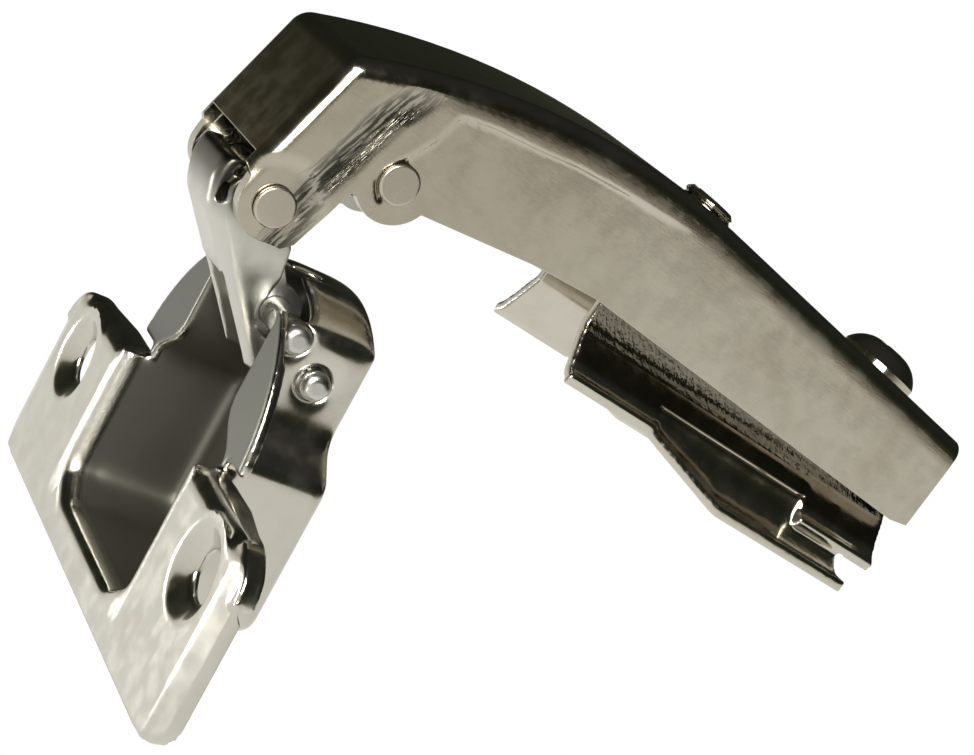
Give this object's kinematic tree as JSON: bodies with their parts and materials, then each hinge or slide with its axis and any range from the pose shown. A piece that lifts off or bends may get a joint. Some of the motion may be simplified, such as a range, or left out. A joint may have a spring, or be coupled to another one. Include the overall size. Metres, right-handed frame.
{
  "type": "concealed cup hinge",
  "caption": "Concealed furniture hinge: drilled-in cup, two links and a swan-neck arm that adjusts and clamps on a raised mounting plate.",
  "frame": {"origin": "middle of the mounting plate's length, on the plane that its feet stand on", "axes": "+X from the cup's end to the arm's tail, +Z away from the panel, Y along the pins; stored with the door open"},
  "size_m": [0.0877, 0.066, 0.0656],
  "materials": {
    "arm_plating": "bright nickel plating on pressed steel",
    "cup_plating": "bright nickel plating on drawn steel",
    "link_plating": "satin nickel plating on pressed steel",
    "plate_plating": "nickel plating on stamped steel",
    "pin_zinc": "zinc plating on steel pins",
    "screw_plating": "bright nickel plating on screws",
    "spring_steel": "drawn spring wire"
  },
  "bodies": {
    "mounting_plate": {"mounting_plate": "plate_plating"},
    "clamp": {"clamp_nut": "plate_plating"},
    "fixing_screw": {"fixing_screw": "screw_plating"},
    "adjusting_screw": {"adjusting_screw": "screw_plating"},
    "arm": {"arm": "arm_plating", "front_pin": "pin_zinc", "rear_pin": "pin_zinc", "near_spring": "spring_steel", "far_spring": "spring_steel", "near_spring_bush": "pin_zinc", "far_spring_bush": "pin_zinc", "near_link_bush": "pin_zinc", "far_link_bush": "pin_zinc"},
    "outer_link": {"outer_link": "link_plating"},
    "cup": {"cup": "cup_plating", "cup_pin": "pin_zinc"},
    "inner_link": {"inner_link": "link_plating"}
  },
  "joints": [
    {"name": "depth_slide", "type": "slide", "parent": "mounting_plate", "child": "clamp", "axis": [0.9936, 0, -0.1132], "range_m": [-0.002, 0.002]},
    {"name": "fixing_screw_turn", "type": "hinge", "parent": "clamp", "child": "fixing_screw", "pos_m": [0.0148, 0, 0.02081], "axis": [0.1132, 0, 0.9936], "range_deg": [0, 360]},
    {"name": "overlay_tilt", "type": "hinge", "parent": "clamp", "child": "arm", "pos_m": [0.0148, 0, 0.0208], "axis": [0, 1, 0], "range_deg": [-1.5, 1.5]},
    {"name": "adjusting_screw_turn", "type": "hinge", "parent": "clamp", "child": "adjusting_screw", "pos_m": [-0.0152, 0, 0.02423], "axis": [0.1192, 0, 0.9929], "range_deg": [-285, 285]},
    {"name": "link_swing", "type": "hinge", "parent": "arm", "child": "outer_link", "pos_m": [-0.05839, 0, 0.00254], "axis": [0, 1, 0], "range_deg": [0, 5.5]},
    {"name": "cup_swing", "type": "hinge", "parent": "outer_link", "child": "cup", "pos_m": [-0.04511, 0, -0.00951], "axis": [0, 1, 0], "range_deg": [0, 92.2]},
    {"name": "inner_link_swing", "type": "hinge", "parent": "cup", "child": "inner_link", "pos_m": [-0.04946, 0, -0.00663], "axis": [0, 1, 0], "range_deg": [-118.9, 0]}
  ],
  "couplings": [
    {"joint": "link_swing", "follows": "cup_swing", "ratio": 0.0593},
    {"joint": "inner_link_swing", "follows": "cup_swing", "ratio": -1.289},
    {"joint": "adjusting_screw_turn", "follows": "overlay_tilt", "ratio": -188.5}
  ]
}
